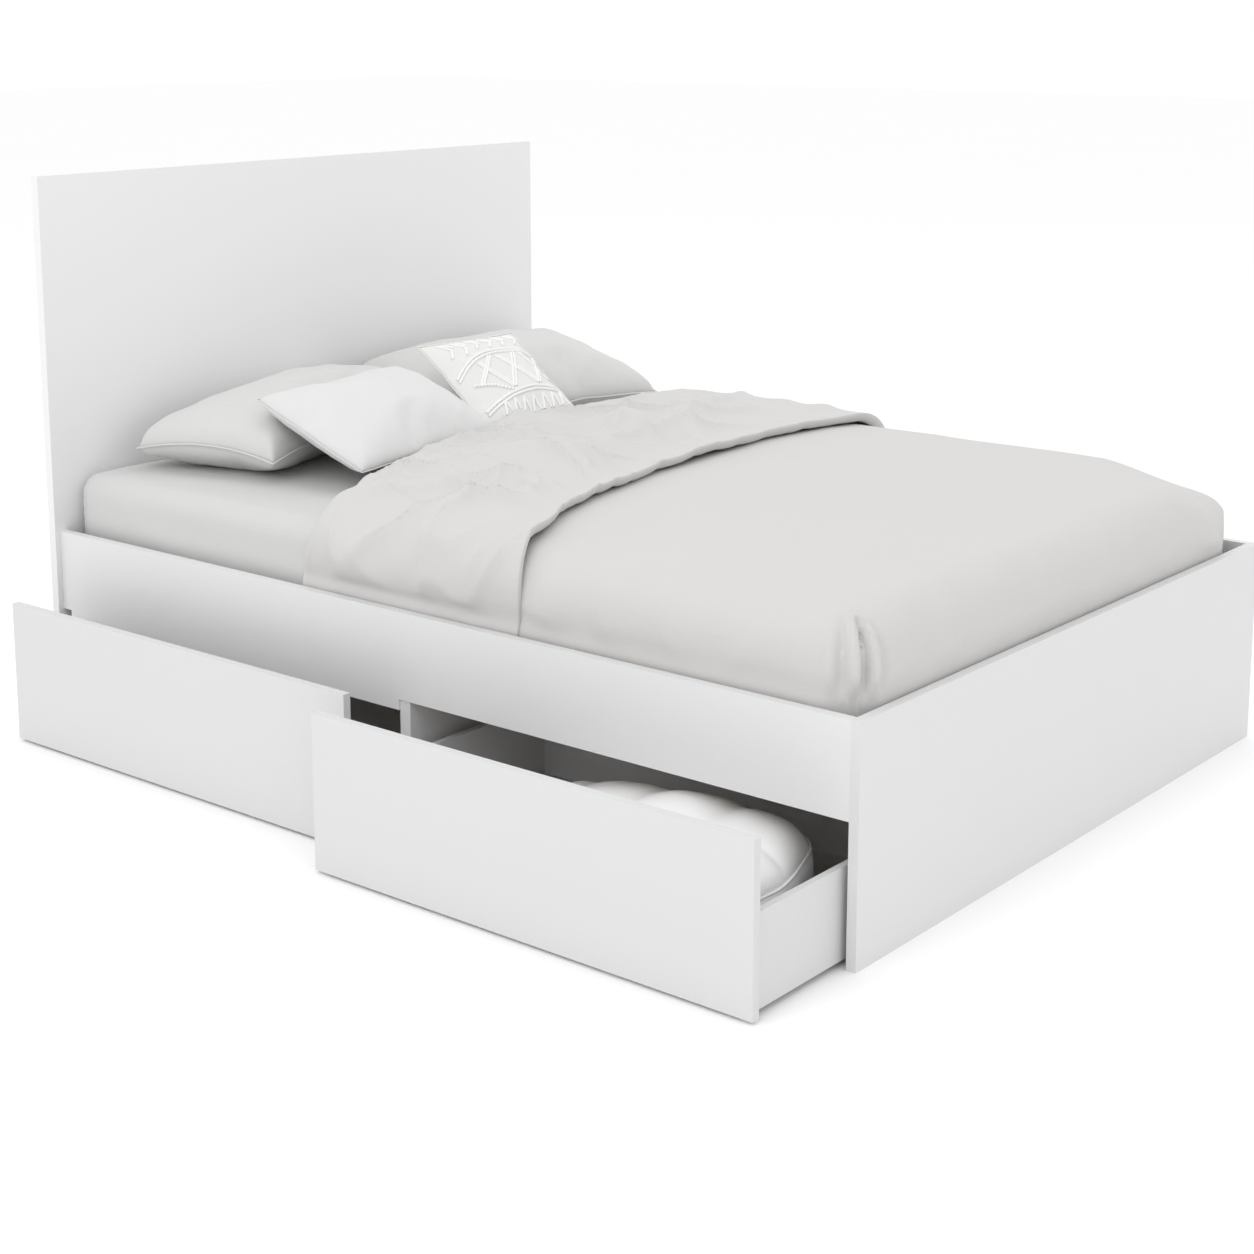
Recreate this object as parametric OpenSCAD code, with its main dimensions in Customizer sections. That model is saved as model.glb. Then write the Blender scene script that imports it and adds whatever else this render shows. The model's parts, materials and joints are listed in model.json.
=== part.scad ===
// Double platform bed with a plain panel headboard and two rolling storage drawers.
// Millimetres, +Z up, foot end towards -Y, drawers on the -X side, origin on the floor.

/* [Frame] */
// Outside width over the two side panels
bed_w = 1450; // [1420:10:1500]
// Length from the footboard's outer face to the headboard's front face
bed_l = 1950; // [1940:10:2000]
// Height of the footboard and the side rails
rail_top = 405; // [395:5:440]
// Height of the open side rail's lower edge over the foot-end drawer
rail_bottom = 242; // [236:1:244]
// How much lower the rail reaches over the head-end drawer
rail_drop = 20; // [0:1:22]
// Height of the headboard
head_h = 1130; // [900:10:1250]
// How far the headboard stands out past each side
head_over = 12; // [0:1:40]
// Thickness of the headboard
head_t = 20; // [18:1:30]
// Thickness of the footboard and the side panels
board_t = 18; // [16:1:20]
// Thickness of the upright between the drawer bays
divider_t = 25; // [18:1:28]

/* [Slatted base] */
// Number of slats
slat_n = 13; // [10:1:15]
// Width of one slat
slat_w = 70; // [50:1:90]
// Thickness of one slat
slat_t = 18; // [14:1:18]

/* [Bedding] */
// Mattress width
mattress_w = 1372; // [1340:2:1372]
// Mattress length
mattress_l = 1905; // [1880:5:1905]
// Height of the mattress top above the floor
mattress_top = 520; // [480:5:560]
// Thickness of the duvet where it lies flat
duvet_t = 32; // [20:1:50]

/* [Drawers] */
// Height of a drawer front
front_h = 282; // [260:1:284]
// Thickness of a drawer front
front_t = 16; // [15:1:19]
// Depth of a drawer box behind its front
box_d = 560; // [480:10:580]
// Height of the top of a drawer box
box_top = 166; // [140:2:190]
// Thickness of the drawer box panels
side_t = 12; // [9:1:15]
// How far the head-end drawer stands out from the side rail
pull_head = 144; // [20:1:300]
// How far the foot-end drawer stands out from the side rail
pull_foot = 246; // [20:1:300]
// How much shorter the foot-end drawer is than the head-end one
foot_short = 26; // [0:1:40]

/* [Casters] */
// Radius of a caster wheel
wheel_r = 11; // [10:0.5:11]
// Width of a caster wheel
wheel_w = 9; // [7:0.5:10]
// Radius of a caster axle
axle_r = 2; // [1.5:0.1:2.5]

/* [Hidden] */
gap = 0.3;
run_gap = 0.05;
half_w = bed_w / 2;
foot_y = -bed_l / 2;
head_y = bed_l / 2;
foot_in = foot_y + board_t;
side_in = half_w - board_t;
divider_y = -20;
split_y = divider_y + divider_t / 2;
base_z = 280;
ledger_w = 25;
ledger_h = 35;
notch_y = 25;
beam_w = 40;
beam_h = 60;
leg_r = 18;
leg_plate_t = 4;
glide_h = 8;
leg_ys = [-480, 490];
hanger_t = 2;
hanger_w = 56;
bracket_leg = 40;
bracket_h = 60;
bracket_t = 2;
bracket_z = 305;
bracket_screw_r = 2.5;
bracket_head_r = 5;
bracket_head_t = 2.5;
bracket_screw_l = 12;
mattress_z = base_z + slat_t + gap;
mattress_r = 40;
mattress_y = foot_in + 19;
sheet_t = 1.5;
sheet_gap = 0.5;
sheet_hem_z = 340;
cover = sheet_t + sheet_gap;
top_z = mattress_top + cover + gap;
duvet_in = mattress_w / 2 + cover + gap;
duvet_out = side_in - 3;
duvet_foot_in = mattress_y - cover - gap;
duvet_foot_out = foot_in + 1.5;
tuck_z = 382;
fold_z = top_z + duvet_t + gap;
fold_t = 26;
front_z = 6;
front_gap = 3.5;
front_over = 18;
front_over_foot = 11;
front_l = split_y - front_gap - (foot_in - 5);
box_z = 12;
quilt_top = 196;
floor_z = 24;
floor_t = 6;
plate_l = 44;
plate_w = 28;
plate_t = 1.5;
ear_l = 14;
ear_t = 1.5;
axle_head_r = 3.2;
axle_head_t = 1;
caster_in = 60;
caster_side_in = 70;
screw_r = 1.5;
screw_head_r = 3;
screw_head_t = 1.5;
screw_l = 6;
white = [0.90, 0.90, 0.91];
shade_white = [0.86, 0.86, 0.87];
timber = [0.83, 0.72, 0.54];
steel = [0.72, 0.73, 0.75];
grey = [0.45, 0.46, 0.48];
linen = [0.84, 0.83, 0.82];
cotton = [0.93, 0.93, 0.93];

// A board from its low corner to its high corner.
module board(low, high) {
    translate(low) cube(high - low);
}

// Outline of a rectangle with rounded corners, from its low corner to its high corner.
function round_rect(low, high, r) = [
    for (c = [[high[0] - r, high[1] - r, 0], [low[0] + r, high[1] - r, 90],
              [low[0] + r, low[1] + r, 180], [high[0] - r, low[1] + r, 270]],
         a = [0 : 15 : 90])
        [c[0] + r * cos(c[2] + a), c[1] + r * sin(c[2] + a)]
];

// A block with rounded edges between two corners: three rounded prisms, crossed.
module soft_block(low, high, r) {
    size = high - low;
    intersection() {
        translate([0, 0, low[2]]) linear_extrude(height = size[2])
            polygon(round_rect([low[0], low[1]], [high[0], high[1]], r));
        translate([low[0] - 1, 0, 0]) rotate([90, 0, 90]) linear_extrude(height = size[0] + 2)
            polygon(round_rect([low[1], low[2]], [high[1], high[2]], r));
        translate([0, high[1] + 1, 0]) rotate([90, 0, 0]) linear_extrude(height = size[1] + 2)
            polygon(round_rect([low[0], low[2]], [high[0], high[2]], r));
    }
}

// A flat sheet between two heights, drawn from its plan outline.
module plan_slab(points, z0, z1) {
    translate([0, 0, z0]) linear_extrude(height = z1 - z0) polygon(points);
}

// A stuffed square cushion lying in XY, crowned in the middle.
module cushion(w, h, t, corner_r) {
    hull() {
        for (x = [-1, 1], y = [-1, 1])
            translate([x * (w / 2 - corner_r), y * (h / 2 - corner_r), 0])
                sphere(r = corner_r, $fn = 16);
        scale([w * 0.42, h * 0.42, t / 2]) sphere(r = 1, $fn = 28);
    }
}

// A bed pillow: thin front edge, thick back against the headboard.
module bed_pillow(x0, x1, front_y, back_y, front_r, back_r) {
    hull() {
        for (x = [x0 + front_r, x1 - front_r])
            translate([x, front_y + front_r, top_z + front_r]) sphere(r = front_r, $fn = 20);
        for (x = [x0 + back_r, x1 - back_r])
            translate([x, back_y - back_r, top_z + back_r]) sphere(r = back_r, $fn = 28);
    }
}

// ---------- bed frame ----------

module headboard() color(shade_white)
    board([-half_w - head_over, head_y, 0], [half_w + head_over, head_y + head_t, head_h]);

module footboard() color(shade_white)
    board([-half_w, foot_y, 0], [half_w, foot_in, rail_top]);

// The open side's rail, deeper over the head-end drawer, with a small notch at the headboard.
module side_rail_left() color(white)
    translate([-half_w, 0, 0]) rotate([90, 0, 90]) linear_extrude(height = board_t)
        polygon([
            [foot_in, rail_bottom], [divider_y + divider_t + gap, rail_bottom],
            [divider_y + divider_t + gap, rail_bottom - rail_drop],
            [head_y - notch_y, rail_bottom - rail_drop], [head_y - notch_y, rail_bottom],
            [head_y, rail_bottom], [head_y, rail_top], [foot_in, rail_top]
        ]);

module side_panel_right() color(white)
    board([side_in, foot_in, 0], [half_w, head_y, rail_top]);

// The upright between the bays: it stands on the floor, carries the rail and clears the ledgers.
module bay_divider() color(white)
    translate([0, divider_y + divider_t, 0]) rotate([90, 0, 0])
        linear_extrude(height = divider_t)
            polygon([
                [-half_w + 3, 0], [side_in - gap, 0],
                [side_in - gap, base_z - ledger_h - gap],
                [side_in - ledger_w - gap, base_z - ledger_h - gap],
                [side_in - ledger_w - gap, base_z],
                [beam_w / 2 + gap, base_z], [beam_w / 2 + gap, base_z - beam_h],
                [-beam_w / 2 - gap, base_z - beam_h], [-beam_w / 2 - gap, base_z],
                [-side_in + ledger_w + gap, base_z],
                [-side_in + ledger_w + gap, rail_bottom - gap],
                [-half_w + 3, rail_bottom - gap]
            ]);

module mid_beam() color(timber)
    board([-beam_w / 2, foot_in, base_z - beam_h], [beam_w / 2, head_y, base_z]);

module ledger_left() color(timber)
    board([-side_in, foot_in + gap, base_z - ledger_h], [-side_in + ledger_w, head_y - gap, base_z]);

module ledger_right() color(timber)
    board([side_in - ledger_w, foot_in + gap, base_z - ledger_h], [side_in, head_y - gap, base_z]);

module slats() color(timber) {
    first_y = foot_in + 32;
    pitch = (head_y - foot_in - 64 - slat_w) / (slat_n - 1);
    for (i = [0 : slat_n - 1])
        board([-side_in + gap * 5, first_y + i * pitch, base_z],
              [side_in - gap * 5, first_y + i * pitch + slat_w, base_z + slat_t]);
}

// Steel angles that hold the two ends of the middle beam.
module beam_hangers() color(steel)
    for (end = [0, 1]) {
        wall_y = end == 0 ? foot_in : head_y;
        s = end == 0 ? 1 : -1;
        translate([0, wall_y, base_z - beam_h]) scale([1, s, 1])
            rotate([90, 0, 90]) translate([0, 0, -hanger_w / 2])
                linear_extrude(height = hanger_w)
                    polygon([[0, 0], [45, 0], [45, -hanger_t], [hanger_t, -hanger_t],
                             [hanger_t, -40], [0, -40]]);
    }

// Places its child at each inside corner, mirrored to suit.
module at_corners() {
    for (sx = [-1, 1], end = [0, 1])
        translate([sx * side_in, end == 0 ? foot_in : head_y, bracket_z])
            scale([-sx, end == 0 ? 1 : -1, 1]) children();
}

module corner_brackets() color(steel)
    at_corners() linear_extrude(height = bracket_h)
        polygon([[0, 0], [bracket_leg, 0], [bracket_leg, bracket_t],
                 [bracket_t, bracket_t], [bracket_t, bracket_leg], [0, bracket_leg]]);

module bracket_screw() {
    translate([0, 0, bracket_t]) cylinder(r = bracket_head_r, h = bracket_head_t, $fn = 24);
    translate([0, 0, bracket_t - bracket_screw_l])
        cylinder(r = bracket_screw_r, h = bracket_screw_l + 0.5, $fn = 24);
}

module bracket_screws() color(grey)
    at_corners()
        for (z = [bracket_h * 0.25, bracket_h * 0.75]) {
            translate([bracket_leg * 0.62, 0, z]) rotate([-90, 0, 0]) bracket_screw();
            translate([0, bracket_leg * 0.62, z]) rotate([0, 90, 0]) bracket_screw();
        }

module centre_leg(y) color(steel)
    translate([0, y, 0]) {
        translate([0, 0, glide_h]) cylinder(r = leg_r, h = base_z - beam_h - glide_h - 1, $fn = 40);
        translate([-30, -30, base_z - beam_h - leg_plate_t]) cube([60, 60, leg_plate_t]);
    }

module centre_leg_foot() centre_leg(leg_ys[0]);
module centre_leg_head() centre_leg(leg_ys[1]);

module leg_glides() color(grey)
    for (y = leg_ys) translate([0, y, 0]) cylinder(r1 = leg_r, r2 = leg_r + 2, h = glide_h, $fn = 40);

// ---------- bedding ----------

module mattress() color(cotton)
    soft_block([-mattress_w / 2, mattress_y, mattress_z],
               [mattress_w / 2, mattress_y + mattress_l, mattress_top], mattress_r);

// A thin cover over the mattress top and sides, open underneath.
module fitted_sheet() color(cotton)
    difference() {
        soft_block([-mattress_w / 2 - cover, mattress_y - cover, mattress_z],
                   [mattress_w / 2 + cover, mattress_y + mattress_l + cover, mattress_top + cover],
                   mattress_r + cover);
        soft_block([-mattress_w / 2 - sheet_gap, mattress_y - sheet_gap, mattress_z - 60],
                   [mattress_w / 2 + sheet_gap, mattress_y + mattress_l + sheet_gap,
                    mattress_top + sheet_gap],
                   mattress_r + sheet_gap);
        board([-half_w, foot_y, 0], [half_w, head_y, sheet_hem_z]);
    }

// Plan line of the turned-back band's head edge, from the left side to the right.
head_edge = [[-duvet_out, 255], [-640, 215], [-482, 288], [-244, 384], [0, 445], [287, 456],
             [duvet_out, 405]];
// Plan line of the band's foot edge.
foot_edge = [[duvet_out, -95], [547, -60], [328, -30], [0, -48], [-286, -100], [-463, -153],
             [-640, -248], [-duvet_out, -262]];
band_in_y = -264;

// The main cover: a slab over the mattress, tucked down at the foot and the two sides.
module duvet() color(linen) {
    difference() {
        board([-duvet_out, duvet_foot_out, tuck_z], [duvet_out, band_in_y, fold_z - gap]);
        board([-duvet_in, duvet_foot_in, 0], [duvet_in, band_in_y + 1, top_z]);
    }
    plan_slab([[-duvet_in, band_in_y], [duvet_in, band_in_y], [duvet_in, 395], [287, 446],
               [0, 435], [-244, 374], [-482, 278], [-640, 205], [-duvet_in, 240]],
              top_z, fold_z - gap);
}

// The band turned back over the cover's head end, hanging down both sides.
module duvet_fold() color(linen)
    difference() {
        plan_slab(concat(head_edge, foot_edge), tuck_z, fold_z + fold_t);
        board([-duvet_in - gap, band_in_y - 20, 0], [duvet_in + gap, head_y, fold_z]);
    }

module pillow_back_left() color(cotton) bed_pillow(-575, 48, 632, 968, 16, 66);
module pillow_back_right() color(cotton) bed_pillow(70, 688, 556, 968, 16, 68);

module pillow_front() color(cotton)
    translate([-256, 508, 668]) rotate([24, 0, 8]) cushion(440, 318, 96, 12);

module tufted_cushion() color(cotton)
    translate([152, 556, 680]) rotate([35, 0, -7]) cushion(290, 268, 84, 10);

// ---------- drawers ----------

// Each drawer d is 1 at the head end or 2 at the foot end: its front, then its box.
function face_x(d) = -half_w - (d == 1 ? pull_head : pull_foot);
function front_y(d) = d == 1 ? split_y + front_gap : foot_in;
function front_len(d) = d == 1 ? front_l : front_l - foot_short;
function box_x(d) = face_x(d) + front_t;
function box_back(d) = box_x(d) + box_d;
function box_y(d) = front_y(d) + (d == 1 ? front_over : front_over_foot);
function box_end(d) = front_y(d) + front_len(d) - (d == 1 ? front_over - 2 : front_over);

module drawer_front(d) color(white)
    board([face_x(d), front_y(d), front_z],
          [box_x(d), front_y(d) + front_len(d), front_z + front_h]);

module drawer_side(d, y) color(white)
    board([box_x(d), y, box_z], [box_back(d), y + side_t, box_top]);

module drawer_back(d) color(white)
    board([box_back(d) - side_t, box_y(d) + side_t, box_z],
          [box_back(d), box_end(d) - side_t, box_top]);

function screw_spots() = [[-plate_l / 2 + 5, 0], [plate_l / 2 - 5, 0]];

// Places its child at the four caster positions of one drawer.
module at_casters(d) {
    for (x = [box_x(d) + caster_in, box_back(d) - caster_in],
         y = [box_y(d) + caster_side_in, box_end(d) - caster_side_in])
        translate([x, y, 0]) children();
}

module drawer_bottom(d) color(white)
    difference() {
        board([box_x(d), box_y(d) + side_t, floor_z],
              [box_back(d) - side_t, box_end(d) - side_t, floor_z + floor_t]);
        at_casters(d)
            for (s = screw_spots())
                translate([s[0], s[1], floor_z - 1])
                    cylinder(r = screw_r + run_gap, h = screw_l - plate_t - screw_head_t + 3, $fn = 20);
    }

// A folded steel plate with two ears that hold one axle.
module caster_frames(d) color(steel)
    at_casters(d)
        difference() {
            union() {
                translate([-plate_l / 2, -plate_w / 2, floor_z - plate_t])
                    cube([plate_l, plate_w, plate_t]);
                for (s = [-1, 1])
                    translate([-ear_l / 2, s * (wheel_w / 2 + 1 + ear_t / 2) - ear_t / 2,
                               wheel_r - 4.5])
                        cube([ear_l, ear_t, floor_z - wheel_r + 4]);
            }
            translate([0, plate_w / 2 + 1, wheel_r]) rotate([90, 0, 0])
                cylinder(r = axle_r + run_gap / 2, h = plate_w + 2, $fn = 24);
            for (s = screw_spots())
                translate([s[0], s[1], floor_z - plate_t - 1])
                    cylinder(r = screw_r + run_gap, h = plate_t + 2, $fn = 20);
        }

module axles(d) color(steel) {
    reach = wheel_w / 2 + 1 + ear_t + run_gap;
    at_casters(d) translate([0, 0, wheel_r]) rotate([90, 0, 0]) {
        translate([0, 0, -reach - 0.5]) cylinder(r = axle_r, h = reach * 2 + 1, $fn = 24);
        for (s = [-1, 1])
            translate([0, 0, s * (reach + axle_head_t / 2) - axle_head_t / 2])
                cylinder(r = axle_head_r, h = axle_head_t, $fn = 24);
    }
}

module caster_screws(d) color(grey)
    at_casters(d)
        for (s = screw_spots()) translate([s[0], s[1], 0]) {
            translate([0, 0, floor_z - plate_t - screw_head_t])
                cylinder(r = screw_head_r, h = screw_head_t, $fn = 20);
            translate([0, 0, floor_z - plate_t - 0.5]) cylinder(r = screw_r, h = screw_l, $fn = 20);
        }

// One wheel of a drawer: col 0 is nearer the front, row 0 is nearer the foot end.
module wheel(d, col, row) color(grey)
    translate([col == 0 ? box_x(d) + caster_in : box_back(d) - caster_in,
               row == 0 ? box_y(d) + caster_side_in : box_end(d) - caster_side_in, wheel_r])
        rotate([90, 0, 0]) rotate_extrude($fn = 40)
            polygon([
                [axle_r + run_gap, -wheel_w / 2], [wheel_r - 1, -wheel_w / 2],
                [wheel_r, -wheel_w / 2 + 1], [wheel_r, wheel_w / 2 - 1],
                [wheel_r - 1, wheel_w / 2], [axle_r + run_gap, wheel_w / 2]
            ]);

module drawer_1_front() drawer_front(1);
module drawer_1_side_head() drawer_side(1, box_end(1) - side_t);
module drawer_1_side_foot() drawer_side(1, box_y(1));
module drawer_1_back() drawer_back(1);
module drawer_1_bottom() drawer_bottom(1);
module drawer_1_caster_frames() caster_frames(1);
module drawer_1_axles() axles(1);
module drawer_1_caster_screws() caster_screws(1);
module drawer_1_wheel_a() wheel(1, 0, 0);
module drawer_1_wheel_b() wheel(1, 0, 1);
module drawer_1_wheel_c() wheel(1, 1, 0);
module drawer_1_wheel_d() wheel(1, 1, 1);

module drawer_2_front() drawer_front(2);
module drawer_2_side_head() drawer_side(2, box_end(2) - side_t);
module drawer_2_side_foot() drawer_side(2, box_y(2));
module drawer_2_back() drawer_back(2);
module drawer_2_bottom() drawer_bottom(2);
module drawer_2_caster_frames() caster_frames(2);
module drawer_2_axles() axles(2);
module drawer_2_caster_screws() caster_screws(2);
module drawer_2_wheel_a() wheel(2, 0, 0);
module drawer_2_wheel_b() wheel(2, 0, 1);
module drawer_2_wheel_c() wheel(2, 1, 0);
module drawer_2_wheel_d() wheel(2, 1, 1);

module stored_quilt() color(cotton)
    soft_block([box_x(2) + 6, box_y(2) + side_t + 24, floor_z + floor_t + gap],
               [box_x(2) + 366, box_y(2) + side_t + 614, quilt_top], 60);

headboard();
footboard();
side_rail_left();
side_panel_right();
bay_divider();
mid_beam();
ledger_left();
ledger_right();
slats();
beam_hangers();
corner_brackets();
bracket_screws();
centre_leg_foot();
centre_leg_head();
leg_glides();
mattress();
fitted_sheet();
duvet();
duvet_fold();
pillow_back_left();
pillow_back_right();
pillow_front();
tufted_cushion();
drawer_1_front();
drawer_1_side_head();
drawer_1_side_foot();
drawer_1_back();
drawer_1_bottom();
drawer_1_caster_frames();
drawer_1_axles();
drawer_1_caster_screws();
drawer_1_wheel_a();
drawer_1_wheel_b();
drawer_1_wheel_c();
drawer_1_wheel_d();
drawer_2_front();
drawer_2_side_head();
drawer_2_side_foot();
drawer_2_back();
drawer_2_bottom();
drawer_2_caster_frames();
drawer_2_axles();
drawer_2_caster_screws();
drawer_2_wheel_a();
drawer_2_wheel_b();
drawer_2_wheel_c();
drawer_2_wheel_d();
stored_quilt();
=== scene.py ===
import json
import math

import bmesh
import bpy
import numpy as np
from mathutils import Matrix, Vector, noise
from mathutils.bvhtree import BVHTree


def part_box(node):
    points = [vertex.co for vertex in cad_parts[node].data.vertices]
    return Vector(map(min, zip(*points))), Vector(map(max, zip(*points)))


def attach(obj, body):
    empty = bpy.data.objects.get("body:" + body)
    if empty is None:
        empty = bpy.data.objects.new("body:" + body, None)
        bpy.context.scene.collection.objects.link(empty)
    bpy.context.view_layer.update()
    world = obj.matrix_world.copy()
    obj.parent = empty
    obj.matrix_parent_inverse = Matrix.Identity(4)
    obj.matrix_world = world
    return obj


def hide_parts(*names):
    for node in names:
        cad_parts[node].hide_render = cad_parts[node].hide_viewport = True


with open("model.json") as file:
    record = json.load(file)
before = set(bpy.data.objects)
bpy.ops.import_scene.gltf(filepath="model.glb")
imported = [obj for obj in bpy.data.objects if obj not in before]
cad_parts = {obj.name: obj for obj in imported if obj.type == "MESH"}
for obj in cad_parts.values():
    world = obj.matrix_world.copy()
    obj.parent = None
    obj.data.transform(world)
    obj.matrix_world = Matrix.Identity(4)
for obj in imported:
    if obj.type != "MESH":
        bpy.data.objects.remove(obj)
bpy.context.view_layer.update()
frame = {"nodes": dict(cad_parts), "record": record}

nodes = frame["nodes"]
scene = bpy.context.scene


# ---------------------------------------------------------------- materials
def material(name, color, rough, metallic=0.0, sheen=0.0, specular=0.5):
    """A new material, with the shader, its object coordinates and the two node lists."""
    m = bpy.data.materials.new(name)
    m.use_nodes = True
    n, l = m.node_tree.nodes, m.node_tree.links  # short names, used in every function below
    b = n["Principled BSDF"]
    b.inputs["Base Color"].default_value = (*color, 1)
    b.inputs["Roughness"].default_value = rough
    b.inputs["Metallic"].default_value = metallic
    b.inputs["Sheen Weight"].default_value = sheen
    b.inputs["Specular IOR Level"].default_value = specular
    tc = n.new("ShaderNodeTexCoord")
    return m, n, l, b, tc.outputs["Object"]


def noise_tex(n, l, coord, scale, detail=4.0, rough=0.5, stretch=None):
    """A noise texture's value, with the coordinates stretched first if asked."""
    if stretch:
        mp = n.new("ShaderNodeMapping")
        mp.inputs["Scale"].default_value = stretch
        l.new(coord, mp.inputs["Vector"])
        coord = mp.outputs["Vector"]
    t = n.new("ShaderNodeTexNoise")
    t.inputs["Scale"].default_value = scale
    t.inputs["Detail"].default_value = detail
    t.inputs["Roughness"].default_value = rough
    l.new(coord, t.inputs["Vector"])
    return t.outputs["Fac"]


def ramp(n, l, value, low, high):
    """Maps a value from 0..1 to low..high."""
    r = n.new("ShaderNodeMapRange")
    r.inputs["To Min"].default_value = low
    r.inputs["To Max"].default_value = high
    l.new(value, r.inputs["Value"])
    return r.outputs["Result"]


def tint(n, l, b, value, color, spread):
    """Colour variation round a colour, darker and lighter by spread."""
    mix = n.new("ShaderNodeMix")
    mix.data_type = "RGBA"
    mix.inputs["A"].default_value = (*[c * (1 - spread) for c in color], 1)
    mix.inputs["B"].default_value = (*[min(1, c * (1 + spread)) for c in color], 1)
    l.new(value, mix.inputs["Factor"])
    l.new(mix.outputs["Result"], b.inputs["Base Color"])


def bump(n, l, b, value, strength, distance, below=None):
    """Adds a bump on top of the one below it."""
    k = n.new("ShaderNodeBump")
    k.inputs["Strength"].default_value = strength
    k.inputs["Distance"].default_value = distance
    l.new(value, k.inputs["Height"])
    if below is not None:
        l.new(below, k.inputs["Normal"])
    l.new(k.outputs["Normal"], b.inputs["Normal"])
    return k.outputs["Normal"]


def laminate(name, color):
    """Matt white melamine: a fine pressed texture and faint handling marks."""
    m, n, l, b, co = material(name, color, 0.42, specular=0.4)
    tint(n, l, b, noise_tex(n, l, co, 2.3, 3), color, 0.008)
    l.new(ramp(n, l, noise_tex(n, l, co, 6, 5), 0.36, 0.5), b.inputs["Roughness"])
    k = bump(n, l, b, noise_tex(n, l, co, 900, 2), 0.12, 0.0004)
    bump(n, l, b, noise_tex(n, l, co, 9, 2), 0.05, 0.0006, k)
    return m


def timber(name, color):
    """Sawn softwood: long grain with darker growth rings."""
    m, n, l, b, co = material(name, color, 0.62, specular=0.3)
    grain = noise_tex(n, l, co, 4, 6, 0.6, (1.5, 18, 18))
    tint(n, l, b, grain, color, 0.2)
    l.new(ramp(n, l, grain, 0.5, 0.75), b.inputs["Roughness"])
    bump(n, l, b, noise_tex(n, l, co, 30, 4, 0.6, (1, 22, 22)), 0.4, 0.001)
    return m


def steel(name, color, rough):
    """Zinc-plated steel with a faint mottled plating."""
    m, n, l, b, co = material(name, color, rough, metallic=1.0)
    tint(n, l, b, noise_tex(n, l, co, 60, 3), color, 0.06)
    wear = ramp(n, l, noise_tex(n, l, co, 140, 4), rough - 0.08, rough + 0.12)
    l.new(wear, b.inputs["Roughness"])
    bump(n, l, b, noise_tex(n, l, co, 500, 2), 0.1, 0.0003)
    return m


def plastic(name, color, rough):
    """Moulded plastic with a light grain."""
    m, n, l, b, co = material(name, color, rough)
    tint(n, l, b, noise_tex(n, l, co, 40, 2), color, 0.04)
    bump(n, l, b, noise_tex(n, l, co, 1500, 2), 0.2, 0.0002)
    return m


def fabric(name, color, weave=700.0, depth=0.0005, rough=0.85, sheen=0.15, slub=0.02):
    """Plain woven cloth: warp and weft threads, slubs and soft mottling."""
    m, n, l, b, co = material(name, color, rough, sheen=sheen, specular=0.25)
    b.inputs["Sheen Roughness"].default_value = 0.6
    mottle = noise_tex(n, l, co, 14, 4)
    tint(n, l, b, mottle, color, slub)
    l.new(ramp(n, l, mottle, rough - 0.06, min(1.0, rough + 0.08)), b.inputs["Roughness"])
    threads = []
    for direction in ("X", "Y"):
        w = n.new("ShaderNodeTexWave")
        w.bands_direction = direction
        w.inputs["Scale"].default_value = weave / 6.283
        w.inputs["Distortion"].default_value = 0.6
        w.inputs["Detail"].default_value = 1.0
        l.new(co, w.inputs["Vector"])
        threads.append(w.outputs["Fac"])
    both = n.new("ShaderNodeMath")
    both.operation = "MAXIMUM"
    l.new(threads[0], both.inputs[0])
    l.new(threads[1], both.inputs[1])
    k = bump(n, l, b, both.outputs[0], 0.25, depth)
    k = bump(n, l, b, noise_tex(n, l, co, 260, 3, 0.5, (1, 0.2, 1)), 0.2, 0.0005, k)
    bump(n, l, b, noise_tex(n, l, co, 22, 4), 0.25, 0.004, k)
    return m


MATS = {
    # the four laminates are one white melamine; their different base tones are painted light and
    # shade: darker on the drawer parts and the end boards, lighter on the headboard
    "laminate_side": laminate("laminate_side", (0.74, 0.74, 0.745)),
    "laminate_drawer": laminate("laminate_drawer", (0.655, 0.655, 0.66)),
    "laminate_end": laminate("laminate_end", (0.70, 0.70, 0.705)),
    "laminate_head_painted_light": laminate("laminate_head_painted_light", (0.785, 0.785, 0.79)),
    "timber": timber("timber", (0.60, 0.45, 0.28)),
    "zinc_steel": steel("zinc_steel", (0.62, 0.63, 0.65), 0.34),
    "screw_steel": steel("screw_steel", (0.45, 0.46, 0.48), 0.38),
    "glide_plastic": plastic("glide_plastic", (0.03, 0.03, 0.032), 0.5),
    "wheel_plastic": plastic("wheel_plastic", (0.16, 0.165, 0.17), 0.45),
    "mattress_ticking": fabric("mattress_ticking", (0.78, 0.78, 0.76), 500, 0.0008),
    "sheet_cotton": fabric("sheet_cotton", (0.585, 0.585, 0.58), 1400, 0.0003, slub=0.008),
    "duvet_cotton": fabric("duvet_cotton", (0.585, 0.577, 0.565), 1100, 0.0004, slub=0.012),
    "pillow_grey": fabric("pillow_grey", (0.61, 0.61, 0.60), 1200, 0.0004, slub=0.012),
    "pillow_white": fabric("pillow_white", (0.665, 0.665, 0.665), 1200, 0.0004, slub=0.008),
    "tufted_cotton": fabric("tufted_cotton", (0.72, 0.72, 0.705), 500, 0.0009, slub=0.015),
    "tufted_cord": fabric("tufted_cord", (0.83, 0.83, 0.82), 900, 0.0006, slub=0.01),
    "quilt_cotton": fabric("quilt_cotton", (0.84, 0.84, 0.84), 1000, 0.0005, slub=0.01),
}


def dress(obj, mat):
    """Gives an object its material on every slot."""
    if not obj.material_slots:
        obj.data.materials.append(mat)
    for s in obj.material_slots:
        s.material = mat


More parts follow.
